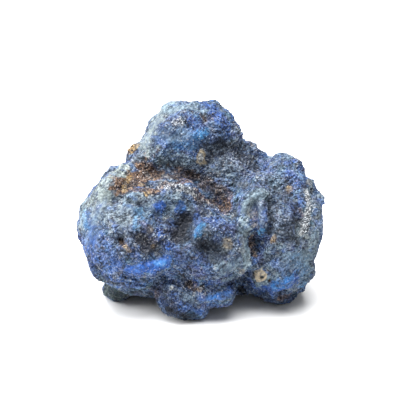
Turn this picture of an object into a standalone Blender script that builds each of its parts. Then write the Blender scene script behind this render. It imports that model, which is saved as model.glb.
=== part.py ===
"""Azurite nodule: a fist-sized lump of rough azurite, grown as one piece, that rests on a few blunt points.

Run it with  blender --background --python part.py  or from Blender's text editor. Metres, +Z up, origin
on the resting plane. The stone is laid out as its display side shows it: a place is given in millimetres
across, up and back from the middle of that side, along the line of sight of someone who looks down on it
by SIGHT_TILT.
"""

import math
import random

import bmesh
import bpy
from mathutils import Matrix, Vector, noise
from mathutils.bvhtree import BVHTree

MM = 0.001

# Driving dimensions, in millimetres and degrees.
SIGHT_TILT = 22.0
SIGHT_DISTANCE = 295.0
MIDDLE_HEIGHT = 33.0
VOXEL = 1.0
FILLET_PASSES = 5
MOST_TRIANGLES = 9400

# Lobes that the nodule grew from: across, up, back, half width, half height, half depth, roll to the right.
LOBES = {
    "crown": (-2.0, 18.0, 11.0, 15.3, 13.6, 13.0, 0),
    "crown_left_slope": (-10.8, 16.6, 10.0, 7.4, 14.8, 12.0, 33),
    "crown_left_foot": (-15.8, 11.6, 10.0, 7.0, 7.0, 9.0, 0),
    "crown_corner": (-7.4, 25.2, 10.0, 6.8, 6.2, 8.0, 0),
    "crown_right": (4.2, 20.2, 10.0, 8.9, 9.2, 9.0, 0),
    "crown_nape": (-2.0, 13.0, 21.0, 15.0, 13.0, 9.0, 0),
    "left_rise": (-18.8, 4.9, 9.0, 7.5, 6.0, 9.0, 0),
    "left_shoulder": (-21.9, -7.8, 2.0, 15.9, 17.2, 16.0, 0),
    "left_cheek": (-21.8, -13.8, -3.0, 14.8, 13.2, 15.0, 0),
    "core": (-1.5, -13.5, -1.0, 17.0, 13.5, 15.0, 0),
    "slope": (7.0, 4.2, 12.0, 14.2, 13.8, 13.5, 0),
    "slope_bump": (14.1, 15.8, 11.0, 2.6, 3.0, 3.5, 0),
    "right_saddle": (18.6, 4.6, 7.0, 6.4, 6.2, 9.0, 0),
    "right_peak": (26.4, 2.4, 6.0, 7.2, 10.6, 11.0, -8),
    "right_brow": (29.2, 1.4, 4.0, 9.1, 7.4, 12.0, 33),
    "right_cheek": (22.5, -7.8, 2.0, 16.4, 16.5, 16.0, 0),
    "right_jaw": (23.2, -18.6, 6.5, 12.4, 13.8, 14.5, 0),
    "right_corner": (31.6, -22.4, 2.0, 5.0, 4.6, 6.5, 0),
    "foot": (-4.0, -28.0, -2.0, 9.8, 8.9, 9.0, 0),
    "foot_toe": (-0.5, -33.0, -4.0, 3.6, 4.2, 4.5, 0),
    "foot_shoulder": (4.6, -27.5, -3.0, 6.6, 5.8, 7.0, 30),
    "under_bridge": (-18.8, -26.0, 7.0, 9.8, 4.2, 12.0, 0),
    "under_right": (13.4, -25.8, 6.0, 7.0, 4.6, 8.0, 0),
    "knob": (-26.0, -28.1, 8.5, 5.0, 3.8, 8.0, 0),
    "valley_floor": (-8.0, 0.6, 6.3, 13.5, 7.6, 12.0, 0),
    "ramp": (-12.5, 7.6, 6.0, 10.0, 4.6, 7.2, 10),
    "lip": (-8.0, -0.6, 0.6, 11.0, 4.8, 9.3, 6),
    "back_left": (-14.0, -5.0, 15.0, 17.0, 16.0, 14.0, 0),
    "back_right": (14.0, -7.0, 15.0, 18.0, 15.0, 13.0, 0),
    "back_foot": (4.0, -16.0, 19.0, 15.0, 10.0, 12.0, 0),
    "back_brow": (5.0, 2.0, 19.0, 16.0, 13.5, 11.0, 0),
    "back_hump": (-13.0, 4.0, 17.0, 12.0, 10.0, 11.0, 0),
    "belly": (-2.0, -18.0, 8.0, 24.0, 9.5, 13.0, 0),
}

# How finely each lobe's ball is divided.
LOBE_DIVISIONS = 4

# Relief of the display side: the (across, up) points that it follows, its reach to each side, its height
# (hollows are negative) and how square its section is (2 is a round swell, 6 has steep sides).
RELIEF = {
    "rust_hollow": ([(-23.0, 5.5), (-15.0, 8.0)], 7.0, -1.4, 2),
    "lip_back": ([(-12.5, 9.4), (-8.5, 8.6), (-4.0, 6.0)], 4.5, -0.9, 2),
    "valley": ([(-1.0, 8.0), (3.2, 2.6), (6.6, -2.0)], 5.0, -2.2, 2),
    "brown_seam": ([(2.0, -1.5), (10.0, -3.5)], 3.6, -1.3, 2),
    "left_lip": ([(-22.0, 0.0), (-15.6, 1.9), (-8.8, 3.4), (-2.5, 3.0), (1.0, -0.6)], 4.0, 1.1, 2),
    "middle_hollow": ([(-4.2, -5.6), (-5.4, -8.0), (-6.2, -10.5)], 5.2, -3.0, 3),
    "left_hollow": ([(-16.6, -13.5), (-13.5, -16.0)], 5.5, -2.0, 3),
    "left_pinhole": ([(-24.7, -12.5)], 2.6, -1.6, 3),
    "shoulder_pit": ([(-21.9, -0.8)], 2.4, -1.3, 3),
    "azure_swell": ([(-19.0, -20.5), (-13.5, -20.5)], 6.0, 1.3, 2),
    "left_underledge": ([(-27.5, -24.0), (-21.9, -26.0), (-15.6, -27.0), (-10.0, -26.4)], 2.4, 0.9, 3),
    "middle_swell": ([(-4.7, -17.6)], 6.5, 1.5, 2),
    "dark_trough": ([(1.0, -14.7), (7.0, -15.5)], 5.0, -2.2, 2),
    "pale_plateau": ([(6.5, -21.5), (11.5, -19.5)], 7.0, 2.6, 4),
    "arch_rim_side": ([(14.0, -19.4), (12.8, -12.5), (13.1, -6.9), (13.4, -1.6)], 3.4, 1.8, 2),
    "arch_rim_top": ([(14.4, 0.6), (16.4, 2.0), (18.8, 2.8), (21.6, 2.2)], 3.4, 1.8, 2),
    "arch_trough": ([(17.2, -2.5), (16.8, -6.5)], 4.0, -1.8, 2),
    "inner_rim": ([(19.7, -1.6), (20.0, -6.3), (19.4, -11.2)], 2.6, 1.2, 2),
    "cavity": ([(17.6, -13.2), (16.6, -15.2)], 5.0, -4.6, 4),
    "side_furrow": ([(22.5, 0.5), (21.9, -10.0)], 3.0, -1.8, 2),
    "right_swell": ([(26.5, -6.5), (27.5, -11.0)], 5.0, 1.5, 2),
    "right_slot": ([(30.9, -5.0), (31.0, -8.6)], 2.4, -1.6, 3),
    "jaw_crack": ([(14.0, -20.5), (19.4, -19.2), (25.0, -17.2)], 2.8, -1.6, 2),
    "jaw_swell": ([(29.0, -18.5), (26.0, -24.0)], 6.5, 1.4, 2),
    "black_notch": ([(13.6, -27.6)], 4.6, -4.4, 3),
    "rust_pit": ([(21.9, -25.4)], 2.0, -1.2, 3),
    "jaw_pits_left": ([(19.7, -29.6)], 3.2, -1.8, 3),
    "jaw_pits_right": ([(26.3, -29.4)], 3.4, -1.6, 3),
    "foot_ledge": ([(0.9, -30.4), (5.6, -30.6), (10.0, -28.8)], 2.8, 1.4, 3),
    "foot_hollow": ([(-3.1, -26.3)], 4.2, -1.6, 2),
    "crown_swell_left": ([(-5.3, 26.0)], 7.0, 0.5, 2),
    "crown_swell_right": ([(7.0, 23.0)], 7.0, 0.5, 2),
    "crown_pit": ([(1.9, 25.0)], 2.4, -1.0, 3),
    "saddle_swell": ([(12.0, 9.0)], 6.0, 0.9, 2),
    "shoulder_top": ([(-27.5, 7.6)], 5.5, -1.0, 2),
    "crown_top_right": ([(4.6, 29.4)], 4.5, -0.8, 2),
    "saddle_top": ([(18.4, 9.6)], 4.5, -1.0, 2),
    "peak_top": ([(26.0, 12.8)], 4.5, -0.6, 2),
    "brow_edge": ([(34.6, 2.6)], 5.5, -1.2, 2),
    "cheek_edge": ([(-30.4, -21.6)], 5.5, -1.0, 2),
}

# The blue grey that the stone shows from a step away, and its dull broken surface.
STONE_COLOUR = (0.125, 0.175, 0.270, 1.0)
STONE_ROUGHNESS = 0.72

# Knobbly growth all over: size of the knobs and how far they stand out, in millimetres.
KNOBS = ((10.0, 1.3), (5.0, 0.85), (2.8, 0.5), (1.7, 0.25))

# Hollows and swells of the sides that face away from the display side: how many, how many degrees round
# from the display side, how far across and up, their reach, and what share of the reach they go in or
# stand out.
FAR_SEED = 11
FAR_MARKS = 60
FAR_TURN = (75, 285)
FAR_ACROSS = (-26, 26)
FAR_UP = (-28, 22)
FAR_REACH = (2.5, 9.0)
FAR_RISE = (-0.42, 0.26)


def layout(turn=0.0):
    """From the display side's own frame (across, back, up) to the world, seen from turn degrees round."""
    middle = Matrix.Translation((0, 0, MIDDLE_HEIGHT * MM))
    round_z = Matrix.Rotation(math.radians(turn), 4, "Z")
    return middle @ round_z @ Matrix.Rotation(math.radians(-SIGHT_TILT), 4, "X")


def seen_at(across, up, back):
    """The place that shows at (across, up) on the display side and lies that far behind its middle."""
    spread = (SIGHT_DISTANCE + back) / SIGHT_DISTANCE
    return Vector((across * spread, back, up * spread)) * MM


def lobes():
    """All the lobes as one mesh of overlapping ellipsoids."""
    mesh = bmesh.new()
    for across, up, back, half_width, half_height, half_depth, roll in LOBES.values():
        place = Matrix.Translation(seen_at(across, up, back))
        turn = Matrix.Rotation(math.radians(roll), 4, "Y")
        size = Matrix.Diagonal((half_width * MM, half_depth * MM, half_height * MM, 1))
        ball = layout() @ place @ turn @ size
        bmesh.ops.create_icosphere(mesh, subdivisions=LOBE_DIVISIONS, radius=1, matrix=ball)
    return mesh


def as_object(mesh, name):
    data = bpy.data.meshes.new(name)
    mesh.to_mesh(data)
    mesh.free()
    made = bpy.data.objects.new(name, data)
    bpy.context.scene.collection.objects.link(made)
    return made


def apply_modifiers(stone):
    """Replaces the stone's mesh by what its modifiers make of it."""
    graph = bpy.context.evaluated_depsgraph_get()
    stone.data = bpy.data.meshes.new_from_object(stone.evaluated_get(graph))
    stone.modifiers.clear()


def grow_together(stone):
    """One skin over all the lobes, with the creases between them filled a little."""
    remesh = stone.modifiers.new("one_skin", "REMESH")
    remesh.mode = "VOXEL"
    remesh.voxel_size = VOXEL * MM
    smooth = stone.modifiers.new("fillets", "SMOOTH")
    smooth.iterations = FILLET_PASSES
    apply_modifiers(stone)


def knobbly(stone):
    """Moves the skin in and out by knobs of a few sizes."""
    outward = [(vertex, vertex.normal.copy()) for vertex in stone.data.vertices]
    for size, height in KNOBS:
        for vertex, normal in outward:
            vertex.co += normal * height * MM * noise.noise(vertex.co / (size * MM))
    stone.data.update()


def skin_of(stone):
    """The stone's skin as it is now, for casting sight lines on."""
    corners = [vertex.co for vertex in stone.data.vertices]
    return BVHTree.FromPolygons(corners, [face.vertices for face in stone.data.polygons])


def on_display_side(tree, across, up, turn=0.0):
    """The point of the skin that shows at (across, up)."""
    frame = layout(turn)
    eye = frame @ Vector((0, -SIGHT_DISTANCE * MM, 0))
    toward = frame @ Vector((across * MM, 0, up * MM)) - eye
    return tree.ray_cast(eye, toward.normalized())[0]


def distance_to_line(point, line):
    """How far a point is from a line of one or more points."""
    if len(line) == 1:
        return (point - line[0]).length
    nearest = []
    for start, end in zip(line, line[1:]):
        along = end - start
        share = max(0.0, min(1.0, (point - start).dot(along) / along.length_squared))
        nearest.append((point - start - along * share).length)
    return min(nearest)


def press(stone, line, reach, height, squareness):
    """Raises a ridge, or presses in a hollow, along a line that lies on the skin."""
    touched = []
    outward = Vector()
    for vertex in stone.data.vertices:
        share = distance_to_line(vertex.co, line) / (reach * MM)
        if share < 1:
            weight = (1 - share**squareness) ** 2
            touched.append((vertex, weight))
            outward += vertex.normal * weight
    outward.normalize()
    for vertex, weight in touched:
        vertex.co += outward * height * MM * weight
    stone.data.update()


def carve_display_side(stone):
    for name, (points, reach, height, squareness) in RELIEF.items():
        tree = skin_of(stone)
        line = [on_display_side(tree, across, up) for across, up in points]
        if None in line:
            raise ValueError(f"{name} runs past the stone's edge")
        press(stone, line, reach, height, squareness)


def carve_far_sides(stone):
    """Hollows and swells like those of the display side, scattered over the rest of the stone."""
    dice = random.Random(FAR_SEED)
    tree = skin_of(stone)
    for _ in range(FAR_MARKS):
        turn = dice.uniform(*FAR_TURN)
        point = on_display_side(tree, dice.uniform(*FAR_ACROSS), dice.uniform(*FAR_UP), turn)
        reach = dice.uniform(*FAR_REACH)
        height = dice.choice(FAR_RISE) * reach
        if point:
            press(stone, [point], reach, height, dice.choice((2, 3)))


def stand(stone):
    """Flattens what reaches below the resting plane, which leaves the blunt points it rests on."""
    mesh = bmesh.new()
    mesh.from_mesh(stone.data)
    everything = mesh.verts[:] + mesh.edges[:] + mesh.faces[:]
    bmesh.ops.bisect_plane(mesh, geom=everything, plane_co=(0, 0, 0), plane_no=(0, 0, -1), clear_outer=True)
    rim = [edge for edge in mesh.edges if edge.is_boundary]
    bmesh.ops.edgeloop_fill(mesh, edges=rim)
    bmesh.ops.recalc_face_normals(mesh, faces=mesh.faces[:])
    mesh.to_mesh(stone.data)
    mesh.free()


def thin_out(stone):
    """Fewer and larger facets where the skin is flatter."""
    thinner = stone.modifiers.new("facets", "DECIMATE")
    thinner.ratio = MOST_TRIANGLES / (2 * len(stone.data.polygons))
    apply_modifiers(stone)


def centre(stone):
    """Puts the middle of the stone's footprint on the origin."""
    for axis in (0, 1):
        ends = [vertex.co[axis] for vertex in stone.data.vertices]
        middle = (min(ends) + max(ends)) / 2
        for vertex in stone.data.vertices:
            vertex.co[axis] -= middle
    stone.data.update()


def coloured(stone):
    material = bpy.data.materials.new("rough_azurite")
    material.use_nodes = True
    surface = material.node_tree.nodes["Principled BSDF"]
    surface.inputs["Base Color"].default_value = STONE_COLOUR
    surface.inputs["Roughness"].default_value = STONE_ROUGHNESS
    surface.inputs["Metallic"].default_value = 0.0
    stone.data.materials.append(material)


def main():
    for old in list(bpy.data.objects):
        bpy.data.objects.remove(old)
    stone = as_object(lobes(), "azurite_nodule")
    grow_together(stone)
    knobbly(stone)
    carve_display_side(stone)
    carve_far_sides(stone)
    thin_out(stone)
    stand(stone)
    centre(stone)
    coloured(stone)


main()
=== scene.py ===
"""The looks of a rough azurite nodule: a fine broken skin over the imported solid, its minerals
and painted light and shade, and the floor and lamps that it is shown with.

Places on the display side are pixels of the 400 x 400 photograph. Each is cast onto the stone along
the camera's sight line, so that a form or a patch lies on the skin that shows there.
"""
import math
import random

import bmesh
import bpy
import numpy as np
from mathutils import Matrix, Vector, noise
from mathutils.bvhtree import BVHTree


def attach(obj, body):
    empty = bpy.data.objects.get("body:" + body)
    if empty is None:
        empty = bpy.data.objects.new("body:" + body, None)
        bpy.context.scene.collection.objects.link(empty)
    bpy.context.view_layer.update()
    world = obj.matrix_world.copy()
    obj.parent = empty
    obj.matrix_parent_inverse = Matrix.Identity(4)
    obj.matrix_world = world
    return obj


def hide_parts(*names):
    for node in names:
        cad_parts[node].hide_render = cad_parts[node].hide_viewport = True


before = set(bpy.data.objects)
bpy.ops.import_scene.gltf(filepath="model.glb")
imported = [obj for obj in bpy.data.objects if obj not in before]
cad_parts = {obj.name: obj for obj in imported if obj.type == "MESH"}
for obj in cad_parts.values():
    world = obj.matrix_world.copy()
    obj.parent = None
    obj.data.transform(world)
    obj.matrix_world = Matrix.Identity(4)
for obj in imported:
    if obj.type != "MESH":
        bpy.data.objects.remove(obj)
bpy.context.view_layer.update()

MM = 0.001
NODE = "azurite_nodule"
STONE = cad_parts[NODE]

# The photograph's side and middle, and the middle of the stone in it, in pixels.
PHOTO_SIDE = 400
PHOTO_MIDDLE = PHOTO_SIDE / 2
STONE_MIDDLE = (200.0, 212.0)

# The camera: how far it looks down, its distance, and the point that it looks at. That point is the
# middle of the display side, so it lies a little off the footprint's middle, the solid's origin.
SIGHT_TILT = math.radians(22.0)
SIGHT_DISTANCE = 295.12 * MM
SIGHT_TARGET = Vector((-0.25, -5.31, 33.0)) * MM
LENS = 85.0
SENSOR = 36.0
NEAREST_SIGHT = 0.01
PIXEL = SENSOR / LENS * SIGHT_DISTANCE / PHOTO_SIDE

# By how many pixels a sight line that misses the stone's edge is moved inward, at most.
EDGE_STEPS = 8

# The skin: how near the solid's corners are welded, its grid, how often it is smoothed, and in how
# many pieces it is kept.
SKIN_WELD = 0.001 * MM
SKIN_GRID = 0.30 * MM
SKIN_SMOOTHING = 14
SKIN_PIECES = 4

# Fine forms of the display side: points, reach to each side and height in pixels (a hollow's is
# negative), and squareness (2 is a round swell, 6 has steep sides). Each is pressed in after the
# one above it.
FORMS = {
    "jaw_hole": ([(261.5, 277)], 2.4, -3.6, 4),
    "jaw_hole_lip": ([(257.5, 274), (262, 273), (264.5, 278), (258, 279.5)], 3.0, 0.9, 2),
    "under_shelf": ([(163, 193), (176, 196), (190, 199)], 9, 1.6, 2),
    "crown_top_fill": ([(194, 104)], 10, 3.4, 2),
    "crown_top_right": ([(211, 101), (217, 103)], 13, -4.6, 2),
    "crown_right_fill": ([(225, 111), (232, 119)], 9, 2.4, 2),
    "crown_left_dent": ([(147, 126), (146, 134)], 8, -2.0, 2),
    "crown_top_left": ([(168, 106)], 8, 1.8, 2),
    "saddle_edge": ([(256, 151), (262, 157)], 10, -6.0, 2),
    "brow_edge": ([(317, 193), (320, 203)], 11, -5.5, 2),
    "peak_edge": ([(299, 165), (303, 173)], 8, 3.4, 2),
    "jaw_corner": ([(297, 296), (306, 290)], 13, -6.5, 2),
    "cheek_edge": ([(93, 268), (100, 278)], 11, -4.5, 2),
    "shoulder_edge": ([(113, 168)], 9, -4.4, 2),
    "jaw_edge": ([(312, 256), (311, 266)], 10, 2.4, 2),
    "shoulder_fill": ([(110, 188), (112, 194)], 12, 2.6, 2),
    "lump": ([(136, 198)], 8, 1.8, 2),
    "face_swell": ([(151, 211)], 8, 1.8, 2),
    "face_ridge": ([(108, 229), (120, 228), (130, 231)], 6, 1.8, 2),
    "face_band": ([(130, 234), (142, 240), (155, 250)], 7, -2.4, 2),
    "middle_blue_swell": ([(168, 246)], 7, 1.6, 2),
    "stripe_swell_left": ([(143, 268)], 7, 1.5, 2),
    "stripe_swell_right": ([(161, 263)], 6, 1.5, 2),
    "cheek_swell": ([(100, 248)], 10, 1.4, 2),
    "under_crease": ([(104, 278), (125, 277), (148, 279), (168, 281)], 3.5, -2.0, 2),
    "lip_blue_swell": ([(181, 208)], 8, 1.6, 2),
    "valley_dent": ([(128, 176), (150, 172)], 8, -2.0, 2),
    "shoulder_pit_left": ([(129.5, 201.5)], 3.2, -2.6, 3),
    "shoulder_pit_right": ([(139, 204)], 2.8, -2.0, 3),
    "cheek_pit": ([(121, 240.5)], 3.6, -3.0, 3),
    "cheek_pit_lower": ([(114.5, 247)], 2.2, -1.6, 3),
    "underledge_upper": ([(115, 274), (126, 278), (138, 281), (150, 284)], 2.0, 1.2, 3),
    "underledge_lower": ([(140, 286.5), (152, 287), (163, 286)], 1.8, 1.2, 3),
    "underledge_groove": ([(112, 276), (124, 281), (140, 285), (158, 285)], 1.8, -1.4, 3),
    "foot_pit": ([(189, 284)], 4.4, -2.6, 3),
    "foot_left_pit": ([(178, 287)], 2.6, -1.8, 3),
    "notch": ([(241, 289), (243, 293)], 5.0, -4.0, 3),
    "rust_pit": ([(269.5, 281)], 2.6, -1.6, 3),
    "jaw_swell": ([(276, 282), (291, 277)], 9, 1.8, 2),
    "jaw_pit_left": ([(262, 300)], 4.6, -2.4, 3),
    "jaw_pit_right": ([(285, 297)], 4.6, -2.4, 3),
    "jaw_crack": ([(253, 267), (262, 262), (270, 258), (281, 253)], 3.6, -1.2, 3),
    "plateau_edge": ([(226, 281), (238, 274), (248, 266), (252, 261)], 4.0, 1.6, 2),
    "arch_rim_low": ([(246, 262), (247, 250), (246, 240)], 7.0, 1.2, 2),
    "arch_side_dent": ([(240, 236), (239, 216)], 9.0, -2.0, 2),
    "arch_rim_top": ([(246, 208), (252, 199), (261, 194), (270, 190)], 7.0, 2.4, 2),
    "inner_rim": ([(261, 206), (263, 222), (262, 234)], 5.0, 1.6, 2),
    "furrow": ([(268, 202), (269, 218), (270, 236)], 3.6, -2.8, 3),
    "furrow_side": ([(254, 208), (254, 220)], 4.0, 1.2, 2),
    "cavity": ([(257, 240), (255, 252)], 9.0, -2.8, 4),
    "right_rib": ([(279, 196), (281, 212), (278, 228)], 4.0, 0.9, 2),
    "right_slot_fill": ([(299, 216), (299.5, 227)], 3.2, 0.6, 3),
    "silver_ridge": ([(307, 192), (310, 206), (306, 222), (302, 232)], 5.0, 1.0, 2),
    "middle_hollow": ([(184, 221), (180, 231)], 11.0, -2.8, 2),
    "trough_hollow": ([(205, 247), (216, 252)], 7.0, -1.8, 3),
    "left_hollow": ([(146, 240), (143, 250)], 6.0, -2.2, 3),
    "lip_step": ([(174, 184), (186, 188), (196, 194), (203, 203)], 5.0, 1.2, 2),
    "crown_pit": ([(206, 121)], 2.4, -1.6, 3),
    "crown_sparkle_pits": ([(172, 122), (178, 122)], 3.2, -1.2, 3),
    "cream_spot": ([(200.5, 158)], 4.2, 2.2, 2),
    "slope_knob": ([(249, 147)], 4.0, 1.0, 2),
    "azure_stripe": ([(141, 268), (152, 267), (162, 264)], 4.5, 1.6, 2),
    "foot_ledge": ([(200, 298), (214, 298), (226, 295), (232, 290)], 4.5, 1.6, 2),
}

# How the edges of forms and of patches wander: the size of the bends in millimetres, and how much
# nearer or farther they bring the edge.
FORM_BENDS = ((2.5, 0.7),)
PATCH_BENDS = ((3.0, 0.55), (1.2, 0.35))

# Growth all over the skin, coarse to fine: size and height in millimetres.
LUMPS = ((5.0, 0.42), (2.6, 0.22), (1.6, 0.13))
RIDGES = (1.5, 0.09)
GRAINS = ((1.1, 0.10), (0.7, 0.17))
CRUMBS = (0.6, 0.26)

# The level of ridges and of grains that leaves the skin where it is, how steeply a grain rises from
# its rim, how far the whole skin swells in millimetres, and the percentiles of the fine growth that
# count as its lowest and highest.
RIDGE_LEVEL = 0.4
GRAIN_LEVEL = 0.5
GRAIN_SLOPE = 2.2
SWELLING = 0.05
GROWTH_RANGE = (3, 97)

# The share of the lumps and of the finer growth that is missing where the surface is calm.
CALM_LUMPS = 0.5
CALM_GROWTH = 0.6

# Streaks in the growth: their width and rise in millimetres, how they are drawn out across, back
# and up, how they lie in degrees, the size in millimetres of the areas where they lie one way, and
# how sharply those areas end.
STREAK_SIZE = 0.75
STREAK_RISE = 0.34
STREAK_SHAPE = (0.22, 0.4, 1.0)
STREAK_LIES = (0, 48, -40)
STREAK_AREAS = 9.0
STREAK_BORDER = 4

# A step that takes noise to a place of its own, past the stone's width.
STONE_SPAN = 80 * MM

# How steeply the cover ends at the edge of a mineral's patch, and of painted shade, glitter or
# calm.
MINERAL_RIM = 2.3
SHADE_RIM = 1.2
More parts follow.
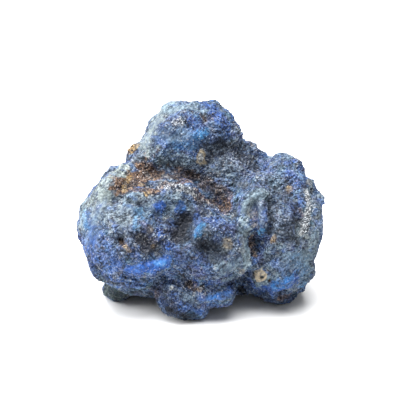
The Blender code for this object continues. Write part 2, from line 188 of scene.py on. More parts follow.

# Where each mineral shows on the display side: points and reach in pixels, and how thickly it
# covers the skin. Some of the patches are painted light and shade, as told above each kind.
MINERALS = {
    "azure": {
        "cheek_stripe": ([(132, 271), (146, 269), (156, 266), (163, 263)], 10, 0.95),
        "cheek_blue": ([(88, 244), (100, 252), (113, 257)], 15, 0.4),
        "cheek_corner": ([(92, 258), (104, 268), (116, 266)], 9, 0.55),
        "underledge_blue": ([(110, 279), (126, 284), (142, 286)], 6, 0.6),
        "lip_blue": ([(160, 207)], 7, 1.1),
        "lip_deep_blue": ([(181, 209)], 8, 1.3),
        "middle_violet": ([(197, 217)], 5.5, 1.3),
        "middle_spot": ([(168, 246)], 6, 1.1),
        "face_spot": ([(160, 232)], 6, 1.1),
        "crown_right_blue": ([(214, 114), (226, 124)], 9, 0.7),
        "middle_blue": ([(170, 248), (178, 262), (192, 262)], 12, 0.35),
        "peak_blue": ([(286, 174), (296, 180)], 7, 0.2),
        "right_low_blue": ([(288, 262), (300, 272)], 12, 0.2),
        "crown_face_blue": ([(183, 132), (204, 129), (218, 132)], 13, 0.15),
        "crown_deep_spot": ([(189.5, 119)], 3.5, 0.95),
        "crown_low_blue": ([(213, 139)], 6, 0.5),
        "peak_violet": ([(294, 161)], 3, 0.9),
        "peak_edge_blue": ([(299, 168), (303, 176)], 3.5, 0.6),
        "right_face_blue": ([(299, 184)], 4.5, 0.5),
        "right_streak": ([(290, 199), (291, 214)], 4, 0.35),
        "right_streak_low": ([(301, 197), (300, 206)], 3.5, 0.4),
        "jaw_blue": ([(268, 289), (284, 286), (295, 279)], 11, 0.95),
        "jaw_left_blue": ([(251, 282), (260, 290)], 8, 0.8),
        "jaw_upper_blue": ([(275, 263), (286, 268)], 6, 0.4),
        "foot_ledge_blue": ([(201, 299), (214, 298), (226, 294), (231, 290)], 5.0, 0.8),
        "foot_upper_blue": ([(206, 282)], 5, 0.85),
        "foot_spot": ([(196, 282)], 4.5, 0.8),
        "foot_left_blue": ([(163, 303), (176, 305)], 9, 0.6),
        "foot_low_blue": ([(173, 312), (190, 309)], 7, 0.55),
        "foot_toe_blue": ([(200, 312)], 6, 0.7),
    },
    # The cyan patches named gleam, and jaw_bright, are painted highlights; the others are cyan
    # mineral.
    "cyan": {
        "middle_cyan": ([(200, 226), (198, 235)], 6.2, 0.85),
        "crown_cyan": ([(198, 135), (204, 133)], 8.0, 0.65),
        "stripe_gleam": ([(157, 263), (162, 264)], 5, 0.3),
        "rim_gleam": ([(262, 230), (261, 235)], 3.5, 0.7),
        "left_edge_gleam": ([(84, 213), (86, 226)], 5, 0.45),
        "left_swell_gleam": ([(141, 211), (136, 228)], 6, 0.4),
        "right_low_gleam": ([(297, 258), (302, 270)], 11, 0.25),
        "jaw_corner_gleam": ([(303, 285)], 7, 0.45),
        "jaw_bright": ([(276, 287), (291, 280)], 8, 0.4),
        "foot_ledge_gleam": ([(208, 298), (228, 293)], 4, 0.2),
        "foot_gleam": ([(199, 318), (188, 313)], 4, 0.4),
        "crown_low_gleam": ([(177, 147), (190, 145)], 7, 0.35),
        "lip_deep_gleam": ([(182, 208)], 7, 0.3),
    },
    # Navy is partly a dark blue mineral and partly painted shade: the patches in the notch, the
    # holes, the cavity, the furrow, the slot, the crack and the trough, in the hollows and the
    # valley, on the slope under the crown, and low on the jaw, the foot and the ledge stand for
    # shade.
    "navy": {
        "slope_dark": ([(213, 146), (228, 152), (243, 160)], 12, 0.55),
        "slope_bump_dark": ([(246, 146), (254, 153)], 8, 0.7),
        "slope_seam": ([(208, 178), (222, 186), (216, 194)], 9, 0.4),
        "valley_dark": ([(196, 185), (204, 192)], 6, 0.6),
        "middle_dark": ([(184, 218), (190, 232), (180, 240)], 9, 0.7),
        "middle_right_dark": ([(200, 204), (203, 214)], 5, 0.7),
        "trough_dark": ([(199, 243), (212, 249), (216, 256)], 9, 0.85),
        "cavity_dark": ([(258, 238), (258, 247)], 8, 0.2),
        "valley_shade": ([(160, 170), (178, 176), (192, 175)], 8, 0.45),
        "notch_dark": ([(241, 288), (243, 293)], 6, 1.0),
        "left_hollow_dark": ([(140, 240), (150, 248), (144, 256)], 8, 0.55),
        "furrow_dark": ([(269, 204), (269, 218), (268, 232)], 3.5, 0.5),
        "right_shade": ([(279, 232), (288, 238), (296, 240)], 7, 0.6),
        "slot_dark": ([(299, 216), (300, 228)], 3.5, 0.4),
        "crack_dark": ([(253, 267), (262, 262), (270, 258), (281, 253)], 3.4, 0.8),
        "jaw_low_dark": ([(246, 281), (252, 291), (266, 297), (280, 300)], 6, 0.6),
        "foot_low_dark": ([(163, 313), (180, 319), (196, 317)], 6, 0.5),
        "under_left_dark": ([(126, 291), (150, 293)], 4.5, 0.85),
        "shoulder_pits_dark": ([(130, 202), (139, 205)], 3, 0.9),
        "jaw_spots_dark": ([(279, 251), (283, 262)], 5, 0.6),
        "jaw_spot_dark": ([(292, 262), (290, 272)], 4, 0.6),
        "jaw_left_dark": ([(268, 268), (272, 272)], 4, 0.5),
        "foot_spots_dark": ([(168, 300), (173, 305)], 5, 0.6),
        "hole_dark": ([(261.5, 277)], 2.0, 1.0),
    },
    "olive": {
        "knob_green": ([(105, 289), (113, 296), (124, 295)], 10, 1.0),
        "crown_green": ([(152, 142), (160, 160)], 8, 0.35),
        "lip_green": ([(158, 214)], 3, 0.6),
        "cavity_green": ([(259, 240)], 4, 0.3),
        "arch_green": ([(158, 304)], 3, 0.5),
    },
    "slate": {
        "right_face_slate": ([(262, 200), (276, 216), (284, 236)], 18, 0.7),
        "right_top_slate": ([(268, 178), (282, 186)], 16, 0.45),
        "right_low_slate": ([(268, 252), (290, 250)], 14, 0.45),
        "slope_slate": ([(214, 152), (236, 160), (252, 172)], 18, 0.75),
        "valley_slate": ([(176, 162), (196, 168), (214, 178)], 12, 0.6),
        "middle_slate": ([(214, 232), (222, 250), (236, 254)], 14, 0.45),
        "cheek_slate": ([(120, 236), (142, 236), (160, 246)], 15, 0.6),
        "under_slate": ([(110, 282), (136, 286)], 7, 0.5),
        "foot_slate": ([(168, 292), (180, 296)], 9, 0.4),
        "crown_side_slate": ([(236, 130), (238, 144)], 7, 0.5),
        "face_slate": ([(112, 202), (122, 222)], 14, 0.35),
    },
    # Sage is a grey-green tone that is partly painted light: on the crown's left, the shoulder and
    # the left edge it is a painted green reflection, and on the arch it lightens a face turned from
    # the lamps.
    "sage": {
        "crown_left_sage": ([(163, 110), (154, 125), (145, 141)], 16, 0.70),
        "crown_foot_sage": ([(150, 150), (136, 158)], 10, 0.45),
        "shoulder_sage": ([(122, 170), (106, 184), (94, 198)], 15, 1.0),
        "left_edge_sage": ([(85, 202), (83, 222)], 9, 1.0),
        "cheek_sage": ([(98, 206), (112, 212), (124, 222)], 13, 0.4),
        "lip_sage": ([(120, 198), (140, 200), (158, 200)], 7, 0.4),
        "arch_sage": ([(245, 234), (243, 246), (247, 260)], 7.5, 1.3),
        "arch_top_sage": ([(246, 208), (252, 199), (264, 193)], 6, 0.6),
        "right_edge_sage": ([(318, 200), (318, 222)], 8, 0.4),
        "right_low_sage": ([(300, 232), (308, 246), (300, 262)], 11, 0.5),
    },
    # Pale is partly the stone's own pale grey-blue and partly painted light: the patches low on the
    # jaw, on the jaw's face, on the right band, on the arch rim and at the crown's foot lighten
    # faces that turn from the lamps or lie under the crown.
    "pale": {
        "crown_left_pale": ([(163, 108), (152, 126), (141, 143)], 11, 0.08),
        "crown_top_pale": ([(170, 106), (192, 107), (206, 107)], 12, 0.95),
        "crown_face_pale": ([(166, 136), (178, 134), (186, 142)], 9, 0.35),
        "crown_foot_pale": ([(168, 159), (188, 162)], 12, 0.6),
        "crown_middle_pale": ([(175, 112), (192, 108)], 8, 0.6),
        "shoulder_pale": ([(95, 202), (104, 190), (118, 178)], 13, 0.30),
        "shoulder_green_pale": ([(112, 184), (120, 178)], 6, 0.7),
        "lump_pale": ([(131, 196), (141, 195)], 7, 0.5),
        "lip_pale": ([(160, 198), (177, 197)], 6, 0.55),
        "lip_blue_pale": ([(172, 207), (190, 208)], 7, 0.7),
        "right_edge_pale": ([(316, 236), (313, 256)], 9, 0.9),
        "face_pale": ([(98, 214), (120, 222), (146, 212)], 12, 0.22),
        "left_edge_pale": ([(84, 202), (83, 225), (87, 240)], 8, 0.7),
        "arch_rim_pale": ([(246, 262), (246, 248), (243, 232), (244, 214), (251, 200),
                           (265, 193)], 8, 0.9),
        "inner_rim_pale": ([(262, 206), (261, 222)], 4.0, 0.3),
        "plateau_pale": ([(222, 268), (236, 266)], 11, 0.75),
        "plateau_edge_pale": ([(224, 280), (238, 274), (250, 262)], 3.4, 0.85),
        "peak_pale": ([(274, 161), (286, 157)], 8, 0.4),
        "slope_pale": ([(220, 166), (232, 172)], 11, 0.4),
        "right_band_pale": ([(290, 260), (302, 258), (303, 270)], 13, 1.4),
        "right_silver": ([(309, 190), (310, 206), (306, 222), (301, 233)], 6, 1.0),
        "jaw_band_pale": ([(265, 254), (272, 250), (283, 246)], 4.5, 0.9),
        "edge_band_pale": ([(83, 200), (82, 214), (83, 230)], 8, 0.4),
        "jaw_low_pale": ([(264, 286), (278, 288), (294, 282)], 15, 1.4),
        "jaw_face_pale": ([(274, 270), (288, 275), (302, 282)], 9, 0.6),
        "foot_ledge_pale": ([(202, 298), (216, 297), (230, 291)], 6, 0.8),
        "foot_pale": ([(187, 296), (196, 304)], 6, 0.45),
    },
    "white": {
        "lip_sparkle": ([(174, 184), (184, 188), (192, 191)], 4.5, 0.9),
        "lip_sparkle_left": ([(166, 187)], 3.5, 0.6),
        "cream_core": ([(201, 155), (200, 160)], 3.4, 1.1),
        "crown_sparkle": ([(174, 122), (181, 122)], 4.5, 0.5),
        "crown_sparkle_top": ([(184, 112)], 3, 0.5),
        "silver_streak": ([(307, 193), (309, 207), (306, 219), (302, 233)], 4.0, 0.85),
        # Painted highlight: a gleam on the arch rim.
        "arch_gleam": ([(243, 239), (243, 250)], 4, 0.5),
        "foot_cream": ([(171.5, 288.5)], 2.6, 1.0),
        "seam_sparkle": ([(207, 203), (215, 206)], 4.0, 0.3),
        "plateau_sparkle": ([(227, 256)], 3, 0.5),
        "rust_sparkle": ([(146, 173), (152, 179)], 3, 0.25),
        "valley_sparkle": ([(163, 176), (170, 179)], 3, 0.5),
    },
    "rust": {
        "rust_valley": ([(122, 184), (133, 181), (145, 176)], 13, 1.6),
        "rust_valley_upper": ([(142, 168), (150, 171), (156, 176)], 10, 1.2),
        "shelf_rust": ([(162, 178), (176, 177), (190, 182)], 7, 0.7),
        "rust_valley_low": ([(124, 192), (140, 190), (156, 190)], 6, 0.8),
        "lip_rust": ([(160, 187), (172, 184), (182, 182)], 6, 0.7),
        "brown_band": ([(200, 196), (214, 205), (228, 208)], 10, 0.95),
        "slope_brown": ([(206, 183), (216, 190), (228, 198)], 10, 0.5),
        "valley_brown": ([(180, 172), (193, 176)], 9, 0.7),
        "middle_brown": ([(184, 224), (177, 238)], 9, 0.25),
        "left_hollow_brown": ([(140, 237), (150, 244)], 10, 0.3),
        "foot_pit_rust": ([(188, 284), (192, 286)], 5.5, 0.75),
        "rust_pit": ([(269.5, 281)], 2.8, 1.0),
        "jaw_pit_brown": ([(262, 300)], 4.6, 0.8),
        "jaw_pit_brown_right": ([(280, 299), (288, 295)], 4.6, 0.7),
        "face_specks": ([(151, 231), (140, 222)], 5, 0.4),
        "cheek_pit_rust": ([(121, 242), (125, 245)], 3.4, 0.75),
        "arch_brown": ([(253, 213), (255, 222)], 5.5, 0.35),
        "cavity_wall_brown": ([(254, 256), (250, 247), (251, 240)], 5, 0.8),
        "crown_brown": ([(205, 121), (202, 116)], 3.6, 0.6),
        "right_brown": ([(300, 208), (303, 215)], 3.5, 0.5),
        "foot_edge_brown": ([(157, 292), (156, 300)], 3.5, 0.5),
    },
    "ochre": {
        "crown_edge_ochre": ([(134, 146), (131, 151)], 5.5, 0.9),
        "lip_ochre": ([(146, 193)], 4, 0.85),
        "valley_ochre": ([(129, 177), (124, 189)], 3.6, 0.8),
        "valley_ochre_low": ([(141, 185)], 3, 0.7),
        "cheek_ochre": ([(126, 246), (129, 250)], 2.6, 0.7),
        "hollow_ochre": ([(154, 246)], 3.5, 0.5),
        "right_tan": ([(289, 189)], 4.5, 0.6),
        "cavity_tan": ([(271, 241), (275, 238)], 3.2, 0.6),
        "seam_ochre": ([(207, 203)], 3, 0.6),
        "shoulder_ochre": ([(110, 178)], 4, 0.45),
        "foot_ochre": ([(200, 290), (203, 287)], 3, 0.5),
        "plateau_edge_tan": ([(242, 271)], 4, 0.4),
    },
    "cream": {
        "slope_cream": ([(201, 155), (200.5, 160)], 5.5, 1.6),
        "middle_tan": ([(226, 241), (227, 245)], 5.0, 0.65),
        "hole_ring": ([(256, 275), (259, 272.5), (263, 274), (264, 278), (260, 280),
                       (257, 278)], 3.6, 1.0),
    },
}

# Painted shade in hollows that light hardly reaches, under overhangs and on faces turned from
# the lamps, and places where the stone itself is nearly black: points and reach in pixels, and
# strength.
PAINTED_SHADE = [
    ([(185, 221), (180, 231)], 24, 1.0),
    ([(258, 239)], 7, 0.1),
    ([(194, 220), (204, 230)], 9, 0.5),
    ([(206, 256), (224, 256)], 13, 0.65),
    ([(201, 198), (203, 210), (200, 218)], 9, 0.6),
    ([(198, 238), (214, 236)], 8, 0.3),
    ([(140, 240), (152, 248)], 14, 0.65),
    ([(121, 240)], 6, 0.6),
    ([(128, 248), (134, 256)], 8, 0.35),
    ([(200, 246), (214, 248), (220, 254)], 13, 0.75),
    ([(178, 250), (190, 258)], 13, 0.6),
    ([(126, 186), (142, 184), (160, 184)], 9, 0.45),
    ([(158, 175), (174, 177), (192, 181)], 9, 0.6),
    ([(198, 180), (207, 189), (212, 198)], 10, 0.25),
    ([(216, 207), (230, 214)], 9, 0.2),
    ([(222, 142), (236, 150), (250, 158)], 14, 0.65),
    ([(210, 158), (224, 170), (238, 172)], 13, 0.42),
    ([(236, 180), (244, 188)], 12, 0.6),
    ([(236, 210), (238, 232)], 6, 0.35),
    ([(126, 288), (150, 292)], 6, 0.5),
    ([(166, 300), (172, 304)], 6, 0.4),
    ([(190, 304), (196, 309)], 6, 0.35),
    ([(212, 286)], 5, 0.4),
    ([(256, 208), (260, 222)], 8, 0.35),
    ([(270, 202), (272, 228)], 8, 0.5),
    ([(282, 192), (292, 206), (289, 236)], 14, 0.6),
    ([(300, 216), (300, 228)], 5, 0.4),
    ([(318, 236), (312, 262)], 6, 0.3),
    ([(241, 288)], 8, 0.8),
    ([(262, 302), (285, 300)], 8, 0.3),
    ([(186, 285)], 8, 0.4),
    ([(104, 290), (118, 294)], 10, 0.5),
    ([(150, 288), (160, 292)], 6, 0.45),
    ([(168, 309), (188, 315)], 12, 0.95),
    ([(104, 278), (136, 285)], 7, 0.45),
]

# Places where small bright crystals stand in the dark, in the same terms.
GLITTER = [
    ([(172, 120), (184, 122)], 7, 0.7),
    ([(150, 186), (168, 184), (184, 187), (196, 192)], 7, 0.9),
    ([(122, 182), (138, 180), (152, 172)], 14, 0.25),
    ([(200, 200), (215, 208), (232, 214)], 9, 0.6),
    ([(205, 175), (225, 165), (245, 160)], 16, 0.35),
    ([(234, 120), (242, 132)], 8, 0.7),
    ([(308, 195), (310, 215), (306, 232)], 8, 1.0),
    ([(140, 242), (178, 236)], 12, 0.6),
    ([(182, 220), (180, 234)], 10, 0.7),
    ([(185, 285), (200, 292)], 10, 0.5),
]

# Places where the surface is soft and smooth, in the same terms.
CALM = [
    ([(158, 112), (152, 128), (145, 142)], 17, 1.0),
    ([(160, 136), (180, 140), (200, 136)], 14, 0.7),
    ([(104, 196), (92, 222), (92, 246)], 18, 0.8),
    ([(124, 206), (142, 214), (124, 228)], 12, 0.45),
    ([(110, 262), (120, 264)], 12, 0.4),
    ([(134, 269), (148, 268), (163, 262)], 12, 0.9),
    ([(150, 208), (180, 208)], 10, 0.6),
    ([(200, 225), (197, 237)], 8, 0.7),
    ([(242, 210), (250, 198), (262, 194)], 9, 0.6),
    ([(236, 262), (246, 250)], 9, 0.5),
    ([(105, 290), (118, 293)], 8, 0.7),
    ([(204, 299), (216, 298), (228, 293)], 7, 0.6),
    ([(276, 288), (292, 282)], 10, 0.6),
    ([(226, 270), (236, 264)], 11, 0.8),
    ([(256, 206), (260, 226)], 9, 0.7),
]

# Patches on the sides that don't show: how often each kind comes, and its reach in pixels.
FAR_SHARES = {
    "azure": (22, 11), "cyan": (8, 6), "navy": (20, 11), "olive": (4, 9), "slate": (34, 15),
    "sage": (14, 11), "pale": (26, 12), "white": (7, 5), "rust": (20, 10), "ochre": (9, 4),
    "cream": (3, 4), "shade": (26, 12), "glitter": (9, 9), "calm": (16, 13),
}

# Their scattering: the seed, how many are thrown at the stone and from how far, the least and the
# most that one has of its kind's reach and of a full cover, and how squarely the skin has to face
# away from the eye to take one (0 is edge on, -1 straight away).
SEED = 7
FAR_PATCHES = 420
FAR_DISTANCE = 200 * MM
FAR_REACH = (0.5, 1.3)
FAR_STRENGTH = (0.5, 1.1)
FAR_FACING = -0.1


def rest_frame():
    """The matrix from the display side's own frame (right, away, up) to the world."""
    return Matrix.Translation(SIGHT_TARGET) @ Matrix.Rotation(-SIGHT_TILT, 4, "X")


def eye():
    return rest_frame() @ Vector((0, -SIGHT_DISTANCE, 0))


def skin_tree(stone):
    """A stone's skin, for casting sight lines on."""
    corners = [vertex.co for vertex in stone.data.vertices]
    return BVHTree.FromPolygons(corners, [face.vertices for face in stone.data.polygons])


def shown_at(tree, column, row):
    """The point of the skin that shows at a pixel, or the nearest one further in if it misses."""
    inward = Vector((STONE_MIDDLE[0] - column, STONE_MIDDLE[1] - row)).normalized()
    for step in range(EDGE_STEPS):
        across = (column + inward.x * step - PHOTO_MIDDLE) * PIXEL
        up = (PHOTO_MIDDLE - row - inward.y * step) * PIXEL
        toward = rest_frame() @ Vector((across, 0, up)) - eye()
        point = tree.ray_cast(eye(), toward.normalized())[0]
        if point is not None:
            return point
    raise ValueError(f"nothing of the stone shows at {column}, {row}")


def vertex_rows(stone, what):
    """Every vertex's place ("co") or direction ("normal"), one row each."""
    flat = np.empty(3 * len(stone.data.vertices))
    stone.data.vertices.foreach_get(what, flat)
    return flat.reshape(-1, 3)


def move_to(stone, places):
    stone.data.vertices.foreach_set("co", places.ravel())
    stone.data.update()


def distance_to_line(places, line):
    """How far each place is from a line of one or more points."""
    if len(line) == 1:
        return np.linalg.norm(places - np.array(line[0]), axis=1)
    nearest = np.full(len(places), np.inf)
    for start, end in zip(line, line[1:]):
        start, along = np.array(start), np.array(end - start)
        share = np.clip((places - start) @ along / (along @ along), 0, 1)
        apart = places - start - share[:, None] * along
        nearest = np.minimum(nearest, np.linalg.norm(apart, axis=1))
    return nearest


def fine_skin():
    """A copy of the solid on a fine even grid, with its facets smoothed away."""
    skin = bpy.data.objects.new("azurite_skin", STONE.data.copy())
    bpy.context.scene.collection.objects.link(skin)
    weld = bmesh.new()
    weld.from_mesh(skin.data)
    bmesh.ops.remove_doubles(weld, verts=weld.verts[:], dist=SKIN_WELD)
    weld.to_mesh(skin.data)
    weld.free()
    grid = skin.modifiers.new("grid", "REMESH")
    grid.mode = "VOXEL"
    grid.voxel_size = SKIN_GRID
    smooth = skin.modifiers.new("smooth", "SMOOTH")
    smooth.iterations = SKIN_SMOOTHING
    apply_modifiers(skin)
    return skin


def apply_modifiers(piece):
    """Replaces a piece's mesh by what its modifiers make of it."""
    graph = bpy.context.evaluated_depsgraph_get()
    piece.data = bpy.data.meshes.new_from_object(piece.evaluated_get(graph))
    piece.modifiers.clear()


def sampled(function, places, size):
    """A noise function's value at each place, with forms of that size in millimetres."""
    scaled = places / (size * MM)
    return np.array([function(Vector(place)) for place in scaled])


def wandering(places, bends):
    """A factor of about 1 for each place's distance from a form, which makes its edge wander."""
    factor = 1.0
    for size, share in bends:
        factor = factor + share * sampled(noise.noise, places, size)
    return factor


def press_forms(skin):
    """Raises the swells and presses in the hollows that the display side shows. Each moves one
    way, along the mean direction of its skin."""
    tree = skin_tree(skin)
    places, outward = vertex_rows(skin, "co"), vertex_rows(skin, "normal")
    wobble = wandering(places, FORM_BENDS)
    for points, reach, height, squareness in FORMS.values():
        line = [shown_at(tree, column, row) for column, row in points]
        share = distance_to_line(places, line) * wobble / (reach * PIXEL)
        weight = np.where(share < 1, (1 - np.minimum(share, 1) ** squareness) ** 2, 0)
        direction = (outward * weight[:, None]).sum(0)
        direction /= np.linalg.norm(direction)
        places = places + direction * (height * PIXEL * weight)[:, None]
    move_to(skin, places)


def ridge(point):
    """1 on a crest, and down to -1 away from it."""
    return 1 - 2 * abs(noise.noise(point))


def cell(point):
    """1 in the middle of a grain and 0 where grains meet."""
    near, far = noise.voronoi(point)[0][:2]
    return min(1.0, GRAIN_SLOPE * (far - near))


def streaked(places):
    """How high each place stands in the streaks, from about -0.5 to 0.5, as they lie there."""
    height = np.zeros(len(places))
    for number, lie in enumerate(STREAK_LIES):
        turn = np.array(Matrix.Rotation(math.radians(lie), 3, "Y"))
        streaks = sampled(noise.noise, places @ turn * STREAK_SHAPE, STREAK_SIZE)
        areas = sampled(noise.noise, places + number * STONE_SPAN, STREAK_AREAS)
        share = np.clip(0.5 + STREAK_BORDER * areas, 0, 1)
        height = streaks if number == 0 else height * (1 - share) + streaks * share
    return height


def roughen(skin, calm):
    """Grows lumps, streaks and grains all over, lower where it is calm, and keeps them off the
    floor. Returns how high each vertex stands in the fine growth, from 0 to 1."""
    places, outward = vertex_rows(skin, "co"), vertex_rows(skin, "normal")
    lumps = np.zeros(len(places))
    for size, rise in LUMPS:
        lumps += rise * sampled(noise.noise, places, size)
    lumps *= 1 - CALM_LUMPS * calm
    size, rise = RIDGES
    growth = rise * (sampled(ridge, places, size) - RIDGE_LEVEL) + STREAK_RISE * streaked(places)
    for size, rise in GRAINS:
        growth += rise * (sampled(cell, places, size) - GRAIN_LEVEL)
    size, rise = CRUMBS
    growth += rise * sampled(noise.noise, places, size)
    growth *= 1 - CALM_GROWTH * calm
    places = places + outward * ((SWELLING + lumps + growth) * MM)[:, None]
    places[:, 2] = np.maximum(places[:, 2], 0)
    move_to(skin, places)
    low, high = np.percentile(growth, GROWTH_RANGE)
    return np.clip((growth - low) / (high - low), 0, 1)


def store(skin, name, values):
    """Keeps one number at each vertex, which the material reads by name."""
    layer = skin.data.attributes.new(name, "FLOAT", "POINT")
    layer.data.foreach_set("value", values.astype(np.float32))


def far_patches(tree):
    """Patches of each kind, scattered over the sides that the camera doesn't see."""
    dice = random.Random(SEED)
    middle = rest_frame().translation
    scattered = {name: [] for name in FAR_SHARES}
    shares = [share for share, reach in FAR_SHARES.values()]
    for name in dice.choices(list(FAR_SHARES), shares, k=FAR_PATCHES):
        direction = Vector([dice.gauss(0, 1) for _ in range(3)]).normalized()
        hit, normal = tree.ray_cast(middle + direction * FAR_DISTANCE, -direction)[:2]
        if normal.dot((eye() - hit).normalized()) < FAR_FACING:
            reach = FAR_SHARES[name][1] * dice.uniform(*FAR_REACH)
            scattered[name].append(([hit], reach, dice.uniform(*FAR_STRENGTH)))
    return scattered


def lay_patches(skin):
    """Stores and returns how thickly each mineral, the painted shade, glitter and calm cover each
    vertex.
    """
    tree, places = skin_tree(skin), vertex_rows(skin, "co")
    far = far_patches(tree)
    wobble = wandering(places, PATCH_BENDS)
    kinds = {name: (list(patches.values()), MINERAL_RIM) for name, patches in MINERALS.items()}
    kinds["shade"] = (PAINTED_SHADE, SHADE_RIM)
    kinds["glitter"] = (GLITTER, SHADE_RIM)
    kinds["calm"] = (CALM, SHADE_RIM)
    covers = {}
    for name, (near, rim) in kinds.items():
        cover = np.zeros(len(places))
        for points, reach, strength in near + far[name]:
            line = [point if len(point) == 3 else shown_at(tree, *point) for point in points]
            share = distance_to_line(places, line) * wobble / (reach * PIXEL)
            cover = np.maximum(cover, strength * np.clip(rim * (1 - share), 0, 1))
        store(skin, name, cover)
        covers[name] = cover
    return covers


def in_pieces(skin):
    """The skin as a few pieces with equally many faces, side by side round the stone."""
    middles = np.zeros(len(skin.data.polygons) * 3)
    skin.data.polygons.foreach_get("center", middles)
    across, back = middles.reshape(-1, 3)[:, 0], middles.reshape(-1, 3)[:, 1]
    order = np.argsort(np.arctan2(back, across))
    pieces = []
    for number, kept in enumerate(np.array_split(order, SKIN_PIECES)):
        whole = bmesh.new()
        whole.from_mesh(skin.data)
        dropped = np.ones(len(whole.faces), dtype=bool)
        dropped[kept] = False
        others = [face for face in whole.faces if dropped[face.index]]
        bmesh.ops.delete(whole, geom=others, context="FACES")
        data = bpy.data.meshes.new(f"azurite_skin_{number}")
        whole.to_mesh(data)
        data.materials.append(skin.data.materials[0])
        whole.free()
        piece = bpy.data.objects.new(data.name, data)
        bpy.context.scene.collection.objects.link(piece)
        pieces.append(piece)
    bpy.data.objects.remove(skin)
    return pieces


# The sockets of a Mix node that take the two colours, and the one that gives the mixed colour.
MIX_FIRST, MIX_SECOND = 6, 7
MIX_RESULT = 2


class Paint:
    """One material's nodes, made and linked one after another."""

    def __init__(self, name):
        self.material = bpy.data.materials.new(name)
        self.material.use_nodes = True
        self.tree = self.material.node_tree
        self.surface = self.tree.nodes["Principled BSDF"]
        self.place = self.node("TexCoord").outputs["Object"]

    def node(self, kind):
        return self.tree.nodes.new("ShaderNode" + kind)

    def feed(self, socket, value):
        """Links a socket to another node's output, or sets it."""
        if isinstance(value, bpy.types.NodeSocket):
            self.tree.links.new(value, socket)
        else:
            socket.default_value = value

    def math(self, operation, first, second):
        made = self.node("Math")
        made.operation = operation
        self.feed(made.inputs[0], first)
        self.feed(made.inputs[1], second)
        return made.outputs[0]

    def total(self, *parts):
        """0.5, plus how far each value is from 0.5 times its weight."""
        result = 0.5
        for value, weight in parts:
            share = self.math("MULTIPLY", self.math("SUBTRACT", value, 0.5), weight)
            result = self.math("ADD", result, share)
        return result

    def spread(self, value, low, high, to_low, to_high):
        """value, stretched so that low becomes to_low and high to_high, and held between them."""
        made = self.node("MapRange")
        for socket, number in zip(made.inputs, (value, low, high, to_low, to_high)):
            self.feed(socket, number)
        return made.outputs[0]

    def noise(self, size, detail):
        """Soft noise with forms of that size in millimetres."""
        made = self.node("TexNoise")
        self.feed(made.inputs["Vector"], self.place)
        made.inputs["Scale"].default_value = 1 / (size * MM)
        made.inputs["Detail"].default_value = detail
        return made.outputs["Fac"]

    def cells(self, size):
        """For grains of that size in millimetres: three random numbers, each the same all over a
        grain, and the distance from its middle."""
        made = self.node("TexVoronoi")
        self.feed(made.inputs["Vector"], self.place)
        made.inputs["Scale"].default_value = 1 / (size * MM)
        parts = self.node("SeparateColor")
        self.feed(parts.inputs[0], made.outputs["Color"])
        return [*parts.outputs, made.outputs["Distance"]]

    def stored(self, name):
        """What store() kept at the skin's vertices under that name."""
        made = self.node("Attribute")
        made.attribute_name = name
        return made.outputs["Fac"]

    def blend(self, factor, first, second):
        """The first colour where factor is 0, and the second where it is 1."""
        made = self.node("Mix")
        made.data_type = "RGBA"
        self.feed(made.inputs["Factor"], factor)
        self.feed(made.inputs[MIX_FIRST], first)
        self.feed(made.inputs[MIX_SECOND], second)
        return made.outputs[MIX_RESULT]

    def ramp(self, factor, stops):
        """The colour that the stops, each a place and a colour, give for factor."""
        made = self.node("ValToRGB")
        elements = made.color_ramp.elements
        while len(elements) < len(stops):
            elements.new(0.5)
        for element, (place, colour) in zip(elements, stops):
            element.position = place
            element.color = (*colour, 1)
        self.feed(made.inputs[0], factor)
        return made.outputs[0]


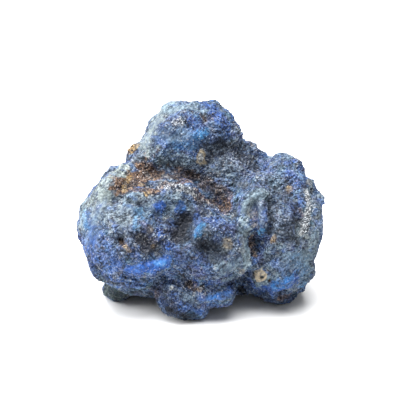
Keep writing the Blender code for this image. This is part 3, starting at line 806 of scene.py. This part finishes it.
# The stone's own tones and each mineral's, from dark to light: the tone's level and its colour.
# Where several cover one place, a lower one in the list lies over the ones above it.
GROUND = ((0.10, (0.005, 0.009, 0.022)), (0.34, (0.017, 0.034, 0.074)),
          (0.50, (0.031, 0.060, 0.124)), (0.66, (0.054, 0.100, 0.182)),
          (0.90, (0.123, 0.204, 0.290)))
TONES = {
    "bluish": ((0.15, (0.005, 0.014, 0.053)), (0.50, (0.025, 0.061, 0.189)),
               (0.85, (0.081, 0.167, 0.370))),
    "teal": ((0.15, (0.008, 0.016, 0.020)), (0.50, (0.041, 0.091, 0.105)),
             (0.85, (0.136, 0.239, 0.241))),
    "violet": ((0.15, (0.011, 0.010, 0.028)), (0.50, (0.057, 0.062, 0.140)),
               (0.85, (0.161, 0.170, 0.299))),
    "dusty": ((0.15, (0.011, 0.013, 0.014)), (0.50, (0.068, 0.071, 0.074)),
              (0.85, (0.202, 0.207, 0.189))),
    "slate": ((0.12, (0.011, 0.015, 0.021)), (0.50, (0.049, 0.063, 0.092)),
              (0.88, (0.180, 0.218, 0.270))),
    "sage": ((0.10, (0.058, 0.067, 0.062)), (0.50, (0.165, 0.192, 0.182)),
             (0.85, (0.345, 0.382, 0.350))),
    "pale": ((0.10, (0.041, 0.066, 0.090)), (0.50, (0.115, 0.164, 0.206)),
             (0.85, (0.255, 0.324, 0.352))),
    "azure": ((0.12, (0.005, 0.016, 0.085)), (0.45, (0.014, 0.054, 0.224)),
              (0.70, (0.030, 0.106, 0.356)), (0.92, (0.086, 0.218, 0.460))),
    "cyan": ((0.15, (0.008, 0.055, 0.132)), (0.50, (0.020, 0.124, 0.287)),
             (0.85, (0.075, 0.276, 0.460))),
    "navy": ((0.15, (0.003, 0.006, 0.009)), (0.50, (0.010, 0.018, 0.031)),
             (0.85, (0.043, 0.066, 0.097))),
    "olive": ((0.15, (0.007, 0.011, 0.010)), (0.50, (0.030, 0.048, 0.047)),
              (0.85, (0.097, 0.137, 0.125))),
    "rust": ((0.15, (0.011, 0.008, 0.007)), (0.45, (0.055, 0.032, 0.022)),
             (0.65, (0.138, 0.078, 0.046)), (0.90, (0.276, 0.201, 0.149))),
    "ochre": ((0.15, (0.057, 0.031, 0.010)), (0.50, (0.218, 0.136, 0.051)),
              (0.85, (0.391, 0.299, 0.161))),
    "cream": ((0.15, (0.165, 0.132, 0.088)), (0.50, (0.310, 0.262, 0.188)),
              (0.85, (0.470, 0.425, 0.340))),
    "white": ((0.20, (0.085, 0.090, 0.097)), (0.50, (0.225, 0.238, 0.248)),
              (0.80, (0.450, 0.475, 0.485))),
}

# The minerals whose grains have quite different tones, side by side.
CRISP = ("dusty", "rust", "white", "ochre")

# Hues that drift over the whole stone: the noise's size in millimetres, the levels of it where a
# hue starts and is full, and how much of it shows at most.
DRIFTING = {
    "teal": (4.5, 0.50, 0.66, 0.50),
    "violet": (4.0, 0.54, 0.68, 0.60),
    "dusty": (3.6, 0.54, 0.68, 0.75),
    "bluish": (8.0, 0.46, 0.61, 0.90),
    "azure": (3.4, 0.55, 0.70, 0.50),
    "navy": (2.1, 0.56, 0.70, 0.55),
    "pale": (2.8, 0.62, 0.72, 0.35),
    "rust": (2.2, 0.60, 0.72, 0.40),
}

# The patterns: sizes of grains in millimetres, and sizes in millimetres and detail of soft noise.
COARSE_GRAINS, FINE_GRAINS = 1.0, 0.36
DRIFT = (7.0, 3.0)
MOTTLE = (1.8, 3.0)
PITS = (1.0, 2.0)
GRIT = (0.6, 2.0)
CRUMBLE = (0.35, 2.0)
HUE_DETAIL = 2.0

# How calm the pale minerals are, how much of the specks and drifting hues is left where it is calm,
# and how much of the cool glints and films is left on rust.
PALE_CALM = 0.4
CALM_SPECKS = 0.20
RUST_GLINTS = 0.25

# How ragged the patches are, from the thinnest to the thickest place of their noise: the noise's
# levels there, the share of a mineral's cover, and the share of the shade's.
RAGGED_LEVELS = (0.25, 0.70)
RAGGED_COVER = (0.45, 1.30)
RAGGED_SHADE = (1.2, 0.8)

# The colours of dark specks, and of the painted shade in deep gaps that light hardly reaches.
SOOT = (0.010, 0.012, 0.018)
PAINTED_SHADE_COLOUR = (0.006, 0.008, 0.013)

# What lies over the minerals, from the lowest to the highest: the levels of its pattern where it
# starts and is full, how much of it shows at most, and its colour.
OVERLAYS = {
    "glitter_gaps": (0.55, 0.35, 0.75, (0.010, 0.011, 0.015)),
    "pale_flecks": (0.955, 0.975, 1.0, (0.42, 0.42, 0.44)),
    "warm_flecks": (0.97, 0.98, 0.30, (0.10, 0.09, 0.085)),
    "dark_specks": (0.42, 0.05, 0.75, SOOT),
    # Painted highlights: the glints lighten the brightest specks.
    "glints": (0.58, 1.0, 0.30, (0.30, 0.34, 0.41)),
    "dark_pits": (0.44, 0.36, 0.75, SOOT),
    "films": (0.58, 0.70, 0.36, (0.22, 0.28, 0.36)),
    # Painted shade: the last layer turns the lowest grains near-black.
    "recess_shade": (0.30, 0.0, 0.60, PAINTED_SHADE_COLOUR),
}

# Pale flecks: how much glitter adds to their number, and how much they show without and with it.
GLITTER_FLECKS = 0.16
FLECK_COVER = (0.35, 0.9)

# The finish: roughness of the dullest and the shiniest grains, gloss, and the fine bumps' strength
# and depth.
ROUGHNESS = (0.85, 0.42)
GLOSS = 0.16
BUMP_STRENGTH = 0.45
BUMP_DEPTH = 0.16 * MM


def azurite_paint():
    """Broken azurite: a blue-grey ground of many tones, minerals, flecks, painted shade and painted
    glints.
    """
    paint = Paint("rough_azurite")
    coarse = paint.cells(COARSE_GRAINS)
    *fine, from_middle = paint.cells(FINE_GRAINS)
    drift, mottle, pits, grit = [paint.noise(*kind) for kind in (DRIFT, MOTTLE, PITS, GRIT)]
    height, glitter = paint.stored("relief"), paint.stored("glitter")

    pale = paint.math("MAXIMUM", paint.stored("pale"), paint.stored("sage"))
    quiet = paint.math("MAXIMUM", paint.stored("cream"), paint.math("MULTIPLY", pale, PALE_CALM))
    calm = paint.math("MAXIMUM", paint.stored("calm"), quiet)
    lively = paint.spread(calm, 0.0, 1.0, 1.0, CALM_SPECKS)
    warm = paint.math("MAXIMUM", paint.stored("rust"), paint.stored("ochre"))
    cool = paint.spread(warm, 0.0, 1.0, 1.0, RUST_GLINTS)

    # Partly painted shade: the relief goes into the speckle and so into the tone, so lower grains
    # are darker and higher ones lighter.
    speckle = paint.total((grit, 1.6), (coarse[0], 0.07), (fine[0], 0.60), (height, 0.30))
    speckle = paint.total((speckle, lively))
    tone = paint.total((drift, 0.75), (mottle, 0.7), (speckle, 0.45))
    crisp = paint.total((tone, 0.8), (fine[2], 0.55))
    ragged = paint.total((mottle, 1.1), (pits, 0.9), (coarse[2], 0.10))
    ragged = paint.spread(ragged, *RAGGED_LEVELS, *RAGGED_COVER)

    shares = {name: paint.math("MULTIPLY", paint.stored(name), ragged) for name in MINERALS}
    for name, (size, start, full, most) in DRIFTING.items():
        hue = paint.spread(paint.noise(size, HUE_DETAIL), start, full, 0.0, most)
        hue = paint.math("MULTIPLY", hue, lively)
        shares[name] = paint.math("MAXIMUM", shares.get(name, 0.0), hue)
    colour = paint.ramp(tone, GROUND)
    for name, stops in TONES.items():
        mineral = paint.ramp(crisp if name in CRISP else tone, stops)
        colour = paint.blend(shares[name], colour, mineral)

    glittering = paint.math("ADD", fine[2], paint.math("MULTIPLY", glitter, GLITTER_FLECKS))
    patterns = {
        "glitter_gaps": (fine[2], glitter),
        "pale_flecks": (glittering, paint.spread(glitter, 0.0, 1.0, *FLECK_COVER)),
        "warm_flecks": (fine[1], lively),
        "dark_specks": (speckle, 1.0),
        "glints": (speckle, cool),
        "dark_pits": (pits, lively),
        "films": (pits, paint.math("MULTIPLY", lively, cool)),
        "recess_shade": (height, 1.0),
    }
    for name, (start, full, most, tint) in OVERLAYS.items():
        pattern, where = patterns[name]
        cover = paint.math("MULTIPLY", paint.spread(pattern, start, full, 0.0, most), where)
        colour = paint.blend(cover, colour, (*tint, 1))
    # Painted shade: where the shade patches lie, the colour goes towards near-black.
    shade = paint.spread(ragged, *RAGGED_COVER, *RAGGED_SHADE)
    shade = paint.math("MULTIPLY", paint.stored("shade"), shade)
    colour = paint.blend(shade, colour, (*PAINTED_SHADE_COLOUR, 1))

    paint.feed(paint.surface.inputs["Base Color"], colour)
    paint.feed(paint.surface.inputs["Roughness"], paint.spread(fine[1], 0.0, 1.0, *ROUGHNESS))
    paint.surface.inputs["Specular IOR Level"].default_value = GLOSS
    bump = paint.node("Bump")
    bump.inputs["Strength"].default_value = BUMP_STRENGTH
    bump.inputs["Distance"].default_value = BUMP_DEPTH
    crumbs = paint.total((from_middle, -0.7), (paint.noise(*CRUMBLE), 1.0))
    paint.feed(bump.inputs["Height"], crumbs)
    paint.feed(paint.surface.inputs["Normal"], bump.outputs[0])
    return paint.material


# The studio: the floor's corners, radius in metres, grey, roughness and gloss; the light from all
# round; and the soft lamps, each with its place and size in metres and its power in watts.
FLOOR_CORNERS = 96
FLOOR_RADIUS = 4
FLOOR_GREY = 0.77
FLOOR_ROUGHNESS = 0.6
FLOOR_GLOSS = 0.2
BACKDROP_STRENGTH = 0.38
LAMPS = {
    "overhead": ((-0.06, -0.01, 0.62), 0.60, 15.0),
    "left_fill": ((-0.55, -0.02, 0.30), 0.35, 5.2),
}


def white_floor():
    bpy.ops.mesh.primitive_circle_add(
        vertices=FLOOR_CORNERS, radius=FLOOR_RADIUS, fill_type="NGON")
    floor = bpy.context.object
    floor.name = "floor"
    paint = bpy.data.materials.new("floor_white")
    paint.use_nodes = True
    surface = paint.node_tree.nodes["Principled BSDF"]
    surface.inputs["Base Color"].default_value = (FLOOR_GREY, FLOOR_GREY, FLOOR_GREY, 1)
    surface.inputs["Roughness"].default_value = FLOOR_ROUGHNESS
    surface.inputs["Specular IOR Level"].default_value = FLOOR_GLOSS
    floor.data.materials.append(paint)


def soft_lamp(name, place, size, power):
    """A square lamp that faces the stone."""
    lamp = bpy.data.lights.new(name, "AREA")
    lamp.size = size
    lamp.energy = power
    made = bpy.data.objects.new(name, lamp)
    bpy.context.scene.collection.objects.link(made)
    made.location = place
    made.rotation_euler = (SIGHT_TARGET - made.location).to_track_quat("-Z", "Y").to_euler()


def studio():
    world = bpy.data.worlds.new("studio")
    world.use_nodes = True
    backdrop = world.node_tree.nodes["Background"]
    backdrop.inputs["Color"].default_value = (1, 1, 1, 1)
    backdrop.inputs["Strength"].default_value = BACKDROP_STRENGTH
    bpy.context.scene.world = world
    for name, (place, size, power) in LAMPS.items():
        soft_lamp(name, Vector(place), size, power)
    bpy.context.scene.view_settings.view_transform = "Standard"


def camera():
    lens = bpy.data.cameras.new("camera")
    lens.lens = LENS
    lens.sensor_width = SENSOR
    lens.clip_start = NEAREST_SIGHT
    made = bpy.data.objects.new("camera", lens)
    bpy.context.scene.collection.objects.link(made)
    made.location = eye()
    made.rotation_euler = (SIGHT_TARGET - eye()).to_track_quat("-Z", "Y").to_euler()
    bpy.context.scene.camera = made


skin = fine_skin()
press_forms(skin)
covers = lay_patches(skin)
store(skin, "relief", roughen(skin, covers["calm"]))
skin.data.materials.clear()
skin.data.materials.append(azurite_paint())
for piece in in_pieces(skin):
    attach(piece, "root")
    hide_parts(NODE)
white_floor()
studio()
camera()
